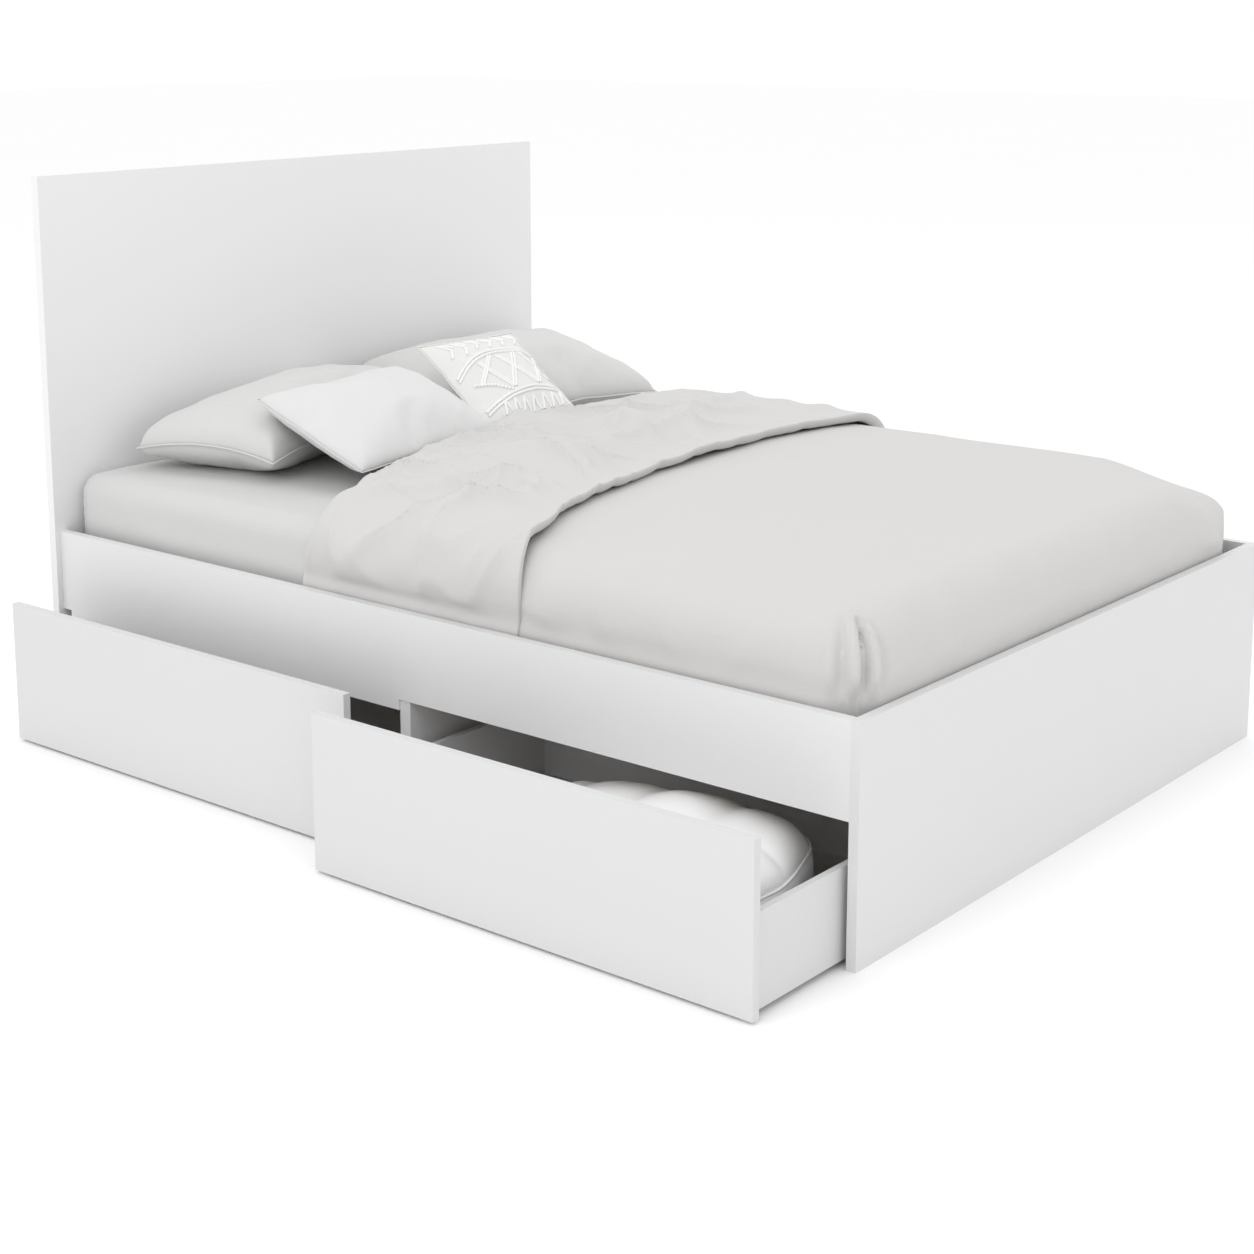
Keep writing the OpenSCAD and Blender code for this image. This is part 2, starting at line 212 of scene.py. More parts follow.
# every CAD node gets its material, and the boards get a fine eased edge
BOARD_EDGE = 0.0011
EDGE_ANGLE = math.radians(40)
slot_of = {s["node"]: s["material_slot"] for s in frame["record"]["subparts"]}
for name, obj in nodes.items():
    # the headboard gets its own lighter copy of the white laminate: painted light
    dress(obj, MATS["laminate_head_painted_light" if name == "headboard" else slot_of[name]])
    if slot_of[name].startswith("laminate") or slot_of[name] == "timber":
        edge = obj.modifiers.new("edge", "BEVEL")
        edge.width = BOARD_EDGE
        edge.segments = 2
        edge.limit_method = "ANGLE"
        edge.angle_limit = EDGE_ANGLE


# ---------------------------------------------------------------- mesh helpers
TINY = 1e-9  # keeps a division from meeting zero


def smooth(t):
    """A soft step from 0 to 1."""
    t = np.clip(t, 0.0, 1.0)
    return t * t * (3 - 2 * t)


def field(points, scale, seed, stretch=(1, 1, 1)):
    """Perlin noise at each point, from -1 to 1. Each seed reads its own part of the noise."""
    away = np.array((7.31, 3.17, 1.93)) * seed
    q = points * (np.array(stretch) * scale) + away
    return np.array([noise.noise(Vector(v)) for v in q])


def ridges(points, scale, seed, stretch=(1, 1, 1), power=2.5):
    """Sharp-crested soft folds: 1 on a crest, falling to 0."""
    warp = field(points, scale * 0.6, seed + 11)[:, None] * np.array((0.05, 0.05, 0))
    return (1 - np.abs(field(points + warp, scale, seed, stretch))) ** power


def turned(points, degrees):
    """Plan coordinates turned about Z, so that a stretched field runs at an angle."""
    a = math.radians(degrees)
    x, y = points[:, 0], points[:, 1]
    across, along = x * math.cos(a) + y * math.sin(a), y * math.cos(a) - x * math.sin(a)
    return np.stack([across, along, points[:, 2]], 1)


def grid_object(name, verts, rows, cols, mat):
    """A mesh object of rows by cols points, on the bed."""
    faces = [
        (r * cols + c, r * cols + c + 1, (r + 1) * cols + c + 1, (r + 1) * cols + c)
        for r in range(rows - 1)
        for c in range(cols - 1)
    ]
    return mesh_object(name, verts, faces, mat)


def mesh_object(name, verts, faces, mat, body="bed"):
    """A smooth mesh object that rides on a body, in its slot's material."""
    me = bpy.data.meshes.new(name)
    me.from_pydata([tuple(v) for v in verts], [], faces)
    me.update()
    bm = bmesh.new()
    bm.from_mesh(me)
    bmesh.ops.recalc_face_normals(bm, faces=bm.faces)
    bm.to_mesh(me)
    bm.free()
    me.shade_smooth()
    obj = bpy.data.objects.new(name, me)
    scene.collection.objects.link(obj)
    dress(obj, MATS[mat])
    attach(obj, body)
    return obj


def apply_modifiers(obj):
    """Bakes an object's modifiers into its mesh."""
    deps = bpy.context.evaluated_depsgraph_get()
    new = bpy.data.meshes.new_from_object(obj.evaluated_get(deps))
    obj.modifiers.clear()
    old = obj.data
    obj.data = new
    bpy.data.meshes.remove(old)
    obj.data.shade_smooth()


def refine(obj):
    """One round of subdivision, applied."""
    fine = obj.modifiers.new("fine", "SUBSURF")
    fine.levels = fine.render_levels = 1
    apply_modifiers(obj)


def thicken(obj, thickness):
    """Gives a layer of cloth its thickness, on its inner side."""
    s = obj.modifiers.new("thick", "SOLIDIFY")
    s.thickness = thickness
    s.offset = -1.0
    s.use_rim = True
    apply_modifiers(obj)


def tube(name, points, radius, mat, body="bed", closed=False, sides=3, skin=None):
    """A round cord along points, in its slot's material or in its own skin."""
    cu = bpy.data.curves.new(name, "CURVE")
    cu.dimensions = "3D"
    cu.bevel_depth = radius
    cu.bevel_resolution = sides
    cu.use_fill_caps = True
    sp = cu.splines.new("POLY")
    sp.points.add(len(points) - 1)
    for p, q in zip(sp.points, points):
        p.co = (*q, 1)
    sp.use_cyclic_u = closed
    obj = bpy.data.objects.new(name, cu)
    scene.collection.objects.link(obj)
    obj.data.materials.append(MATS[skin or mat])
    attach(obj, body)
    return obj


# ---------------------------------------------------------------- mattress and covers
# boxes of the CAD solids that the soft pieces replace, in metres
MAT_LOW, MAT_HIGH = (np.array(v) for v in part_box("mattress"))
SHEET_LOW, SHEET_HIGH = (np.array(v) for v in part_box("fitted_sheet"))
SHEET_TOP = SHEET_HIGH[2]
CORNER_R = 0.042  # radius of the mattress's edges under the sheet
FLAT_X = SHEET_HIGH[0] - CORNER_R
FLAT_Y0 = SHEET_LOW[1] + CORNER_R
FLAT_Y1 = SHEET_HIGH[1] - CORNER_R


def wrap(a, b, r=CORNER_R):
    """Lays flat-cloth coordinates over the mattress: across a, along b, both from its centre,
    with edges of radius r.

    Returns the point on the sheet, the outward normal, how far the point has gone over an edge,
    and the angle round a corner (0 on a long side, 90 degrees on an end)."""
    flat_x, flat_y0, flat_y1 = SHEET_HIGH[0] - r, SHEET_LOW[1] + r, SHEET_HIGH[1] - r
    ea = np.maximum(np.abs(a) - flat_x, 0)
    eb = np.maximum(np.maximum(flat_y0 - b, b - flat_y1), 0)
    e = (ea**4 + eb**4) ** 0.25
    theta = np.arctan2(eb, np.maximum(ea, TINY)) * (e > 1e-7)
    quarter = math.pi / 2
    phi = np.minimum(e / r, quarter)
    out = r * np.sin(phi)
    drop = r * (1 - np.cos(phi)) + np.maximum(e - r * quarter, 0)
    sa, sb = np.sign(a), np.where(b > 0, 1.0, -1.0)
    x = sa * (np.minimum(np.abs(a), flat_x) + out * np.cos(theta))
    y = np.clip(b, flat_y0, flat_y1) + sb * out * np.sin(theta)
    nx, ny = sa * np.cos(theta) * np.sin(phi), sb * np.sin(theta) * np.sin(phi)
    normal = np.stack([nx, ny, np.cos(phi)], 1)
    return np.stack([x, y, SHEET_TOP - drop], 1), normal, e, theta


def cloth_grid(a0, a1, b0, b1, cell):
    """Flat-cloth coordinates of a grid, row by row along b."""
    cols = int(round((a1 - a0) / cell)) + 1
    rows = int(round((b1 - b0) / cell)) + 1
    b, a = np.meshgrid(np.linspace(b0, b1, rows), np.linspace(a0, a1, cols), indexing="ij")
    return a.ravel(), b.ravel(), rows, cols


def rounded_block(low, high, r, cuts):
    """Points, outward directions and faces of a box with rounded edges, finely divided."""
    bm = bmesh.new()
    bmesh.ops.create_cube(bm, size=2)
    bmesh.ops.subdivide_edges(bm, edges=bm.edges, cuts=cuts, use_grid_fill=True)
    low, high = np.array(low), np.array(high)
    half, mid = (high - low) / 2, (high + low) / 2
    p = np.array([v.co for v in bm.verts])
    faces = [[v.index for v in f.verts] for f in bm.faces]
    bm.free()
    q = p * half
    core = np.clip(q, -(half - r), half - r)
    d = q - core
    d /= np.maximum(np.linalg.norm(d, axis=1), TINY)[:, None]
    return core + d * r + mid, d, faces


# the far foot corner, where the bedding is drawn in and sinks a little
FOOT_CORNER = (0.5755, -0.8275)  # centre of its rounding in plan
FOOT_CORNER_R = 0.1125
OVERHANG_KEPT = 0.12  # share of what stands past that rounding
DROOP = 0.042
DROOP_FROM = (0.42, -0.66)
DROOP_REACH = 0.26
DROOP_LOW, DROOP_FADE = 0.40, 0.10  # nothing sinks below this height


def ease_corner(points, grow):
    """Rounds the far foot corner in plan, grow outside its usual radius, and lowers it."""
    points = np.array(points, dtype=float)
    (cx, cy), r = FOOT_CORNER, FOOT_CORNER_R + grow
    dx, dy = np.maximum(points[:, 0] - cx, 0), np.maximum(cy - points[:, 1], 0)
    d = np.hypot(dx, dy)
    outside = (dx > 0) & (dy > 0) & (d > r)
    k = np.where(outside, (r + (d - r) * OVERHANG_KEPT) / np.maximum(d, TINY), 1)
    points[:, 0] = np.where(k < 1, cx + dx * k, points[:, 0])
    points[:, 1] = np.where(k < 1, cy - dy * k, points[:, 1])
    near_x = np.clip((points[:, 0] - DROOP_FROM[0]) / DROOP_REACH, 0, 1)
    near_y = np.clip((DROOP_FROM[1] - points[:, 1]) / DROOP_REACH, 0, 1)
    high = smooth((points[:, 2] - DROOP_LOW) / DROOP_FADE)
    points[:, 2] -= DROOP * smooth(near_x * near_y * 1.25) * high
    return points


# the mattress: quilted ticking, with a taped edge round the top and the bottom panel
QUILT_PITCH = 0.12
QUILT_DEPTH = 0.003
TAPE_IN, TAPE_R, TAPE_CORD = 0.04, 0.027, 0.0035
TAPE_HEIGHT_IN = 0.016
pts, nrm, faces = rounded_block(MAT_LOW + 0.003, MAT_HIGH - 0.003, 0.04, 40)
stitch = np.sin(pts[:, 0] * math.pi / QUILT_PITCH) * np.sin(pts[:, 1] * math.pi / QUILT_PITCH)
puff = np.abs(stitch) ** 0.5
pts += nrm * ((puff - 1) * QUILT_DEPTH * (np.abs(nrm[:, 2]) > 0.9))[:, None]
pts = ease_corner(pts, -0.006)
mattress = mesh_object("mattress_body", pts, faces, "mattress_ticking")
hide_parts("mattress")
for label, z in (("top", MAT_HIGH[2] - TAPE_HEIGHT_IN), ("bottom", MAT_LOW[2] + TAPE_HEIGHT_IN)):
    loop = []
    for quarter, (cx, cy) in enumerate((
        (MAT_HIGH[0] - TAPE_IN, MAT_HIGH[1] - TAPE_IN),
        (MAT_LOW[0] + TAPE_IN, MAT_HIGH[1] - TAPE_IN),
        (MAT_LOW[0] + TAPE_IN, MAT_LOW[1] + TAPE_IN),
        (MAT_HIGH[0] - TAPE_IN, MAT_LOW[1] + TAPE_IN),
    )):
        for k in range(9):
            t = math.radians(90 * quarter + k * 11.25)
            loop.append((cx + TAPE_R * math.cos(t), cy + TAPE_R * math.sin(t), z))
    loop = ease_corner(loop, -0.011)
    tube(f"mattress_tape_{label}", loop, TAPE_CORD, "mattress_ticking", closed=True)

# the fitted sheet: taut on top, drawn in at the corners
SHEET_CELL = 0.014
SHEET_THICK = 0.0015
HEM_DROP = SHEET_TOP - SHEET_LOW[2]
hem_run = CORNER_R * math.pi / 2 + HEM_DROP - CORNER_R
a, b, rows, cols = cloth_grid(-FLAT_X - hem_run, FLAT_X + hem_run,
                              FLAT_Y0 - hem_run, FLAT_Y1 + hem_run, SHEET_CELL)
pts, nrm, e, theta = wrap(a, b)
near_head = smooth((pts[:, 1] - 0.2) / 0.6)
lift = 0.0012 * field(pts, 3.0, 1) + 0.0010 * field(pts, 9.0, 2)
lift += 0.0022 * ridges(turned(pts, 35), 6.0, 3, (1, 0.3, 1), 4) * near_head
in_corner = (theta > 0.03) & (theta < 1.54)
lift += 0.0016 * np.sin(theta * 14) * smooth((e - 0.03) / 0.05) * in_corner
pts = ease_corner(pts + nrm * (lift - 0.0012)[:, None], 0.0)
sheet = grid_object("fitted_sheet_cloth", pts, rows, cols, "sheet_cotton")
thicken(sheet, SHEET_THICK)
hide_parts("fitted_sheet")

# ---------------------------------------------------------------- duvet
DUVET_H = 0.034  # height of the cover's outer face over the sheet
BAND_H = 0.058  # the same for the turned-back band
SIDE_H = 0.0125  # the same where the cover is tucked into the frame
TUCK_Z = 0.386
DUVET_R = 0.072
DUVET_THICK, BAND_THICK = 0.010, 0.006
DUVET_CELL, BAND_CELL = 0.0075, 0.006
DUVET_X = SHEET_HIGH[0] - DUVET_R
DUVET_Y = SHEET_LOW[1] + DUVET_R
DUVET_END = 0.34
DUVET_RUN = DUVET_R * math.pi / 2 + (SHEET_TOP - TUCK_Z) - DUVET_R


def capped(h, room, blend=0.003):
    """The smaller of a height and the room there is for it, with a soft change-over."""
    t = np.clip((room - h) / blend, -1, 1)
    return np.minimum(h, room) - blend * 0.25 * (1 - np.abs(t)) ** 2


def loft(e, top, side):
    """Height of the cover over the sheet: full on top, thin where it is tucked into the frame."""
    return side + (top - side) * (1 - smooth((e - 0.02) / 0.13))


# plan lines of the turned-back band, across the cloth: (across, along)
HEAD_LINE = np.array([(-0.82, 0.268), (-0.75, 0.252), (-0.70, 0.226), (-0.66, 0.205),
                      (-0.61, 0.222), (-0.478, 0.290), (-0.244, 0.384), (-0.03, 0.438),
                      (0.287, 0.456), (0.53, 0.425), (0.66, 0.40), (0.82, 0.38)])
FOOT_LINE = np.array([(-0.82, -0.240), (-0.75, -0.254), (-0.70, -0.270), (-0.66, -0.258),
                      (-0.60, -0.225), (-0.463, -0.153), (-0.286, -0.10), (-0.08, -0.055),
                      (0.10, -0.040), (0.33, -0.03), (0.55, -0.06), (0.66, -0.09), (0.82, -0.11)])


def plan_line(line, a):
    """A smooth line through a few points."""
    x, y = line[:, 0], line[:, 1]
    fine = np.linspace(x[0], x[-1], 200)
    v = np.interp(fine, x, y)
    kernel = np.hanning(13)
    v = np.convolve(np.pad(v, 6, mode="edge"), kernel / kernel.sum(), mode="valid")
    return np.interp(a, fine, v)


a, b, rows, cols = cloth_grid(-DUVET_X - DUVET_RUN, DUVET_X + DUVET_RUN,
                              DUVET_Y - DUVET_RUN, DUVET_END, DUVET_CELL)
# under the band the cover runs on, and stops short of the band's head edge
limit = plan_line(HEAD_LINE, a) - 0.05
share = (b - b.min()) / (b.max() - b.min())
along = DUVET_Y - DUVET_RUN + share * (limit - DUVET_Y + DUVET_RUN)
pts, nrm, e, theta = wrap(a, along, DUVET_R)
h = loft(e, DUVET_H, SIDE_H - 0.001)
under = smooth((along - plan_line(FOOT_LINE, a) - 0.01) / 0.05)

# broad swells and long soft creases on top
near_foot = smooth((0.2 - np.abs(pts[:, 1] + 0.55)) / 0.3)
wave = 0.0050 * field(pts, 2.2, 5) + 0.0026 * field(pts, 6.0, 6)
edge_crease = ridges(turned(pts, 70), 5.0, 13, (1, 0.3, 1), 5) - 0.2
wave += 0.0040 * edge_crease * smooth((e - 0.005) / 0.04)
wave += 0.0035 * ridges(turned(pts, 62), 3.4, 7, (1, 0.35, 1), 3) * near_foot

# upright folds where it hangs over the long sides and over the foot, here and there
hanging = smooth((e - 0.02) / 0.05)
side_fold = np.sin(pts[:, 1] * 52 + 2.4 * field(pts, 5, 8)) * hanging
wave += 0.0042 * side_fold * (theta < 0.2) * smooth((0.25 + field(pts, 3.1, 9)) / 0.5)
end_fold = np.sin(pts[:, 0] * 40 + 2.0 * field(pts, 4, 10)) * hanging
wave += 0.0036 * end_fold * (theta > 1.37) * smooth((0.3 + field(pts, 2.7, 12)) / 0.5)

# pleats round the foot corners: (degrees round the corner, width, height), slight on the far one
PLEATS = ((20, 6, 0.007), (33, 5, -0.009), (46, 7, 0.012), (57, 3.4, -0.026), (68, 6, 0.013),
          (80, 5, -0.006))
FAR_PLEATS = 0.2
deg = np.degrees(theta)
pleat = sum(height * np.exp(-(((deg - at) / width) ** 2)) for at, width, height in PLEATS)
pleat = pleat * ((theta > 0.02) & (theta < 1.55)) * smooth((e - 0.015) / 0.07)
wave += pleat * np.where(pts[:, 0] > 0, FAR_PLEATS, 1.0)

free = 1 - smooth((e - 0.10) / 0.05)
h = h + wave * free * (1 - under) - under * 0.006
h = capped(h, 0.0142 + 0.10 * (1 - smooth((e - 0.06) / 0.09)))  # the frame is close by
pts = ease_corner(pts + nrm * h[:, None], 0.0135)
duvet = grid_object("duvet_cover", pts, rows, cols, "duvet_cotton")
thicken(duvet, DUVET_THICK)
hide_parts("duvet")

# the turned-back band: a rolled head edge, crumpled cloth, a blunt lifted foot edge
EDGE_ROWS, FLAT_ROWS, ROLL_ROWS = 6, 84, 9
band_cols = int((2 * (DUVET_X + DUVET_RUN)) / BAND_CELL)
across = np.linspace(-DUVET_X - DUVET_RUN, DUVET_X + DUVET_RUN, band_cols)
foot, head = plan_line(FOOT_LINE, across), plan_line(HEAD_LINE, across)
band_rows = []  # where each row lies along the bed, and how far it drops
for i in range(EDGE_ROWS):  # the foot edge curls under itself: a drop in metres
    t = i / EDGE_ROWS * math.pi / 2
    band_rows.append((foot + 0.004 - 0.017 * math.sin(t), -0.020 * math.cos(t)))
for i in range(FLAT_ROWS):
    t = i / (FLAT_ROWS - 1)
    band_rows.append(((foot - 0.013) * (1 - t) + head * t, 0.0))
for i in range(1, ROLL_ROWS + 1):  # the head edge rolls to the sheet: a share of its height
    t = i / ROLL_ROWS * math.pi
    band_rows.append((head + 0.022 * math.sin(t), -(1 - math.cos(t)) / 2))
a = np.tile(across, len(band_rows))
b = np.concatenate([line for line, _ in band_rows])
drop = np.repeat([d for _, d in band_rows], band_cols)
row = np.arange(len(drop)) // band_cols
pts, nrm, e, theta = wrap(a, b, DUVET_R)

# crumpled cloth: (height, turned by, scale, seed, stretch along, sharpness, mean of the ridges)
CREASES = ((0.0280, 24, 4.0, 23, 1.3, 6, 0.2), (0.0230, -38, 5.4, 24, 1.5, 7, 0.18),
           (0.0120, 75, 7.5, 26, 1.4, 7, 0.16))
foot_line, head_line = plan_line(FOOT_LINE, a), plan_line(HEAD_LINE, a)
wave = 0.010 * field(pts, 2.6, 21) + 0.004 * field(pts, 6.0, 22)
for height, turn, scale, seed, stretch, sharp, mean in CREASES:
    wave += height * (ridges(turned(pts, turn), scale, seed, (0.5, stretch, 1), sharp) - mean)
wave += 0.0008 * field(pts, 17.0, 25)
wave *= 1 - 0.5 * smooth((pts[:, 0] - 0.15) / 0.4)  # calmer towards the far side
wave *= 1 - 0.6 * smooth((e - 0.03) / 0.08)  # and where it hangs
middle = smooth((b - foot_line) / 0.10) * smooth((head_line - b) / 0.05)
share = np.clip((b - foot_line) / np.maximum(head_line - foot_line, 0.1), 0, 1)
swell = 0.006 * np.sin(np.pi * share)
top = 0.3 + 0.7 * (1 - smooth((e - 0.10) / 0.06))
h = loft(e, BAND_H, SIDE_H + 0.002) + (wave * (0.25 + 0.75 * middle) + swell) * top
h = np.where(row >= EDGE_ROWS + FLAT_ROWS, h * (1 + drop) + 0.002, h)
h = np.where(row < EDGE_ROWS, np.maximum(h + drop, 0.004), h)
h = capped(h, 0.0165 + 0.12 * (1 - smooth((e - 0.05) / 0.09)))
pts = pts + nrm * h[:, None]
band = grid_object("duvet_turnback", pts, len(band_rows), band_cols, "duvet_cotton")
thicken(band, BAND_THICK)
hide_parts("duvet_fold")


# ---------------------------------------------------------------- stuffed pieces
LAYER_GAP = 0.012  # between the two layers of a pillow before it is blown up


def envelope(w, d, cell):
    """Two layers of cloth sewn round the edge: points, faces, and the seam's points in order."""
    nx, ny = int(w / cell), int(d / cell)
    xs, ys = np.linspace(-w / 2, w / 2, nx + 1), np.linspace(-d / 2, d / 2, ny + 1)
    index, verts, faces = {}, [], []

    def vert(i, j, side):
        rim = i in (0, nx) or j in (0, ny)
        key = (i, j, 0 if rim else side)
        if key not in index:
            index[key] = len(verts)
            verts.append((xs[i], ys[j], 0 if rim else side * LAYER_GAP / 2))
        return index[key]

    for side in (1, -1):
        for i in range(nx):
            for j in range(ny):
                q = [vert(i, j, side), vert(i + 1, j, side), vert(i + 1, j + 1, side),
                     vert(i, j + 1, side)]
                faces.append(q if side > 0 else q[::-1])
    seam = [vert(i, 0, 1) for i in range(nx)] + [vert(nx, j, 1) for j in range(ny)]
    seam += [vert(i, ny, 1) for i in range(nx, 0, -1)] + [vert(0, j, 1) for j in range(ny, 0, -1)]
    return np.array(verts), faces, seam


SIM_FRAMES = 24
PRESSURE = 4.0
STIFFNESS = 15.0
DRAWN_IN = 0.2  # share of the cloth's own pulling-in that is kept


def blown_up(verts, faces):
    """The points of a sewn envelope after Blender's cloth has blown it up."""
    me = bpy.data.meshes.new("sim")
    me.from_pydata([tuple(v) for v in verts], [], faces)
    obj = bpy.data.objects.new("sim", me)
    scene.collection.objects.link(obj)
    cloth = obj.modifiers.new("cloth", "CLOTH")
    s = cloth.settings
    s.quality = 6
    s.mass = 0.25
    s.tension_stiffness = STIFFNESS
    s.compression_stiffness = STIFFNESS
    s.shear_stiffness = STIFFNESS * 0.4
    s.bending_stiffness = 0.4
    s.use_pressure = True
    s.uniform_pressure_force = PRESSURE
    s.effector_weights.gravity = 0
    s.air_damping = 3.0
    cloth.collision_settings.use_collision = False
    cloth.point_cache.frame_start = 1
    cloth.point_cache.frame_end = SIM_FRAMES
    for f in range(1, SIM_FRAMES + 1):
        scene.frame_set(f)
    deps = bpy.context.evaluated_depsgraph_get()
    out = np.array([v.co for v in obj.evaluated_get(deps).data.vertices])
    bpy.data.objects.remove(obj)
    scene.frame_set(1)
    return out


def inflate(w, d, cell, seed):
    """A filled pillow of flat size w by d: its points, its faces and its seam."""
    verts, faces, seam = envelope(w, d, cell)
    verts[:, 2] += 0.0012 * field(verts, 30.0, seed) * (np.abs(verts[:, 2]) > 0)
    out = blown_up(verts, faces)
    # firm filling pushes the corners and sides back out towards the flat shape
    out[:, :2] = verts[:, :2] + (out[:, :2] - verts[:, :2]) * DRAWN_IN
    return out, faces, seam


REST_Z = SHEET_TOP + 0.002
REST_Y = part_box("headboard")[0][1] - 0.004
SQUASHED = 0.02  # share left of what would sink in


def rested(points):
    """Flattens what would sink into the sheet or the headboard, so that a pillow rests there."""
    low = points[:, 2] < REST_Z
    points[low, 2] = REST_Z + (points[low, 2] - REST_Z) * SQUASHED
    far = points[:, 1] > REST_Y
    points[far, 1] = REST_Y + (points[far, 1] - REST_Y) * SQUASHED
    return points


def stuffed(name, node, size, flat, cell, place, mat, seed, lower=1.0, pull=0.0, firm=1.0,
            arch=0.0, skew=0.0, rests=False, piping=0.0022):
    """A pillow or cushion: blown up, sized, shaped, and put in place with its seam cord.

    lower flattens its underside and pull draws its sides in; a firm value under 1 fills it out
    towards its edges; arch lifts the middle of each side; skew draws one corner outwards."""
    pts, faces, seam = inflate(*flat, cell, seed)
    pts -= (pts.min(0) + pts.max(0)) / 2
    pts *= np.array(size) / (pts.max(0) - pts.min(0))
    w, d, t = size
    u, v = pts[:, 0] / (w / 2), pts[:, 1] / (d / 2)
    au, av = np.clip(np.abs(u), 0, 1), np.clip(np.abs(v), 0, 1)
    pts[:, 2] -= pts[seam, 2].mean()
    pts[seam, 2] = 0
    crown = np.abs(pts[:, 2]) / (t / 2)
    pts[:, 2] = np.sign(pts[:, 2]) * t / 2 * crown**firm
    pts[:, 2] = np.where(pts[:, 2] < 0, pts[:, 2] * lower, pts[:, 2])
    pts[:, 2] += arch * ((1 - av**2) * au**4 + (1 - au**2) * av**4)
    pts[:, 0] += skew * (v - 1) / 2 * (1 - u) / 2
    pts[:, 0] *= 1 - pull * (1 - av**2) * np.abs(u)
    pts[:, 1] *= 1 - pull * 1.2 * (1 - au**2) * np.abs(v)
    inside = 1 - np.maximum(au, av) ** 6
    crease = ridges(turned(pts, 30), 7.0, seed + 41, (0.5, 1.4, 1), 4) - 0.3
    crumple = 0.0035 * field(pts, 9.0, seed + 40) + 0.0045 * crease
    pts[:, 2] += np.sign(pts[:, 2]) * crumple * inside * min(1, t / 0.1)
    world = np.array([place @ Vector(p) for p in pts])
    if rests:
        world = rested(world)
    obj = mesh_object(name, world, faces, mat)
    refine(obj)
    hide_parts(node)
    tube(name + "_piping", [tuple(world[i]) for i in seam], piping, mat, closed=True)
    return world, faces


def pose(x, y, z, tilt=0.0, spin=0.0, roll=0.0):
    """A place on the bed: tilt leans it back, spin turns it in plan, roll lifts its left end."""
    place = Matrix.Translation((x, y, z))
    for angle, axis in ((spin, "Z"), (tilt, "X"), (roll, "Y")):
        place = place @ Matrix.Rotation(math.radians(angle), 4, axis)
    return place


stuffed("pillow_back_left_case", "pillow_back_left", (0.65, 0.345, 0.22), (0.74, 0.46), 0.0135,
        pose(-0.235, 0.790, 0.578, spin=12, roll=-2), "pillow_grey", 51,
        lower=0.62, pull=0.01, firm=0.55, arch=0.022, rests=True)
stuffed("pillow_back_right_case", "pillow_back_right", (0.62, 0.40, 0.22), (0.70, 0.48), 0.0135,
        pose(0.395, 0.746, 0.592, tilt=12, spin=-3), "pillow_grey", 52,
        lower=0.6, pull=0.01, firm=0.7, arch=0.012, rests=True)
stuffed("pillow_front_case", "pillow_front", (0.465, 0.305, 0.14), (0.56, 0.36), 0.0125,
        pose(-0.240, 0.524, 0.628, tilt=22, spin=9), "pillow_white", 53,
        lower=0.85, pull=-0.03, firm=0.78, skew=0.03, piping=0.0013)
CUSHION_W, CUSHION_D = 0.29, 0.265
cushion_place = pose(0.150, 0.552, 0.649, tilt=37, spin=-3)
cushion_pts, cushion_faces = stuffed(
    "tufted_cushion_case", "tufted_cushion", (CUSHION_W, CUSHION_D, 0.064), (0.33, 0.31), 0.010,
    cushion_place, "tufted_cotton", 54, piping=0.0018)

# the raised cords of the small cushion, laid on its upper face
tree = BVHTree.FromPolygons([tuple(v) for v in cushion_pts], cushion_faces)
up = cushion_place.to_3x3() @ Vector((0, 0, 1))
FACE = 0.48  # share of the cushion's size that 1 stands for in the paths below
CORD_STEP, BEAD_STEP = 0.006, 0.0078


def laid(path, step=CORD_STEP, height=0.0008):
    """Points of a path given on the cushion's face (-1..1 each way), dropped onto its cloth."""
    out = []
    for (x0, y0), (x1, y1) in zip(path, path[1:]):
        length = math.hypot((x1 - x0) * CUSHION_W / 2, (y1 - y0) * CUSHION_D / 2)
        count = max(2, int(length / step))
        out += [(x0 + (x1 - x0) * k / count, y0 + (y1 - y0) * k / count) for k in range(count)]
    out.append(path[-1])
    pts = []
    for x, y in out:
        start = cushion_place @ Vector((x * CUSHION_W * FACE, y * CUSHION_D * FACE, 0.2))
        hit = tree.ray_cast(start, -up)[0]
        if hit is not None:
            pts.append(tuple(hit + up * height))
    return pts


def bow(knots, steps=28):
    """A smooth arc through a few knots."""
    x = np.linspace(knots[0][0], knots[-1][0], steps)
    kx, ky = zip(*knots)
    y = np.polyval(np.polyfit(kx, ky, len(knots) - 1), x)
    return list(zip(x, y))


UPPER_ARC = [(-0.90, 0.08), (-0.28, 0.45), (0.20, 0.52), (0.96, 0.38)]
LOWER_ARC = [(-0.86, -0.74), (-0.20, -0.50), (0.40, -0.45), (0.96, -0.58)]
LATTICE = (((-0.63, -0.22), (-0.08, 0.38)), ((-0.05, -0.38), (0.44, 0.38)),
           ((0.50, -0.38), (0.93, 0.28)), ((-0.40, 0.26), (-0.05, -0.38)),
           ((0.06, 0.38), (0.50, -0.38)), ((0.56, 0.36), (0.92, -0.20)))
BEAD_LINE = [(-0.74, -0.18), (-0.40, -0.27), (-0.08, -0.46)]
BEAD_R = 0.0042
cords = []  # each cord's path and radius
for knots in (UPPER_ARC, LOWER_ARC):  # double arcs
    for shift in (0.0, -0.07):
        cords.append((bow([(x, y + shift) for x, y in knots]), 0.0034))
for k in range(6):  # chevrons along the top
    x, y = -0.78 + k * 0.29, 0.50 if k < 2 else 0.60
    cords.append(([(x, 0.90), (x + 0.15, (0.90 + y) / 2), (x + 0.03, y)], 0.0036))
    cords.append(([(x + 0.10, 0.90), (x + 0.23, 0.76)], 0.0032))
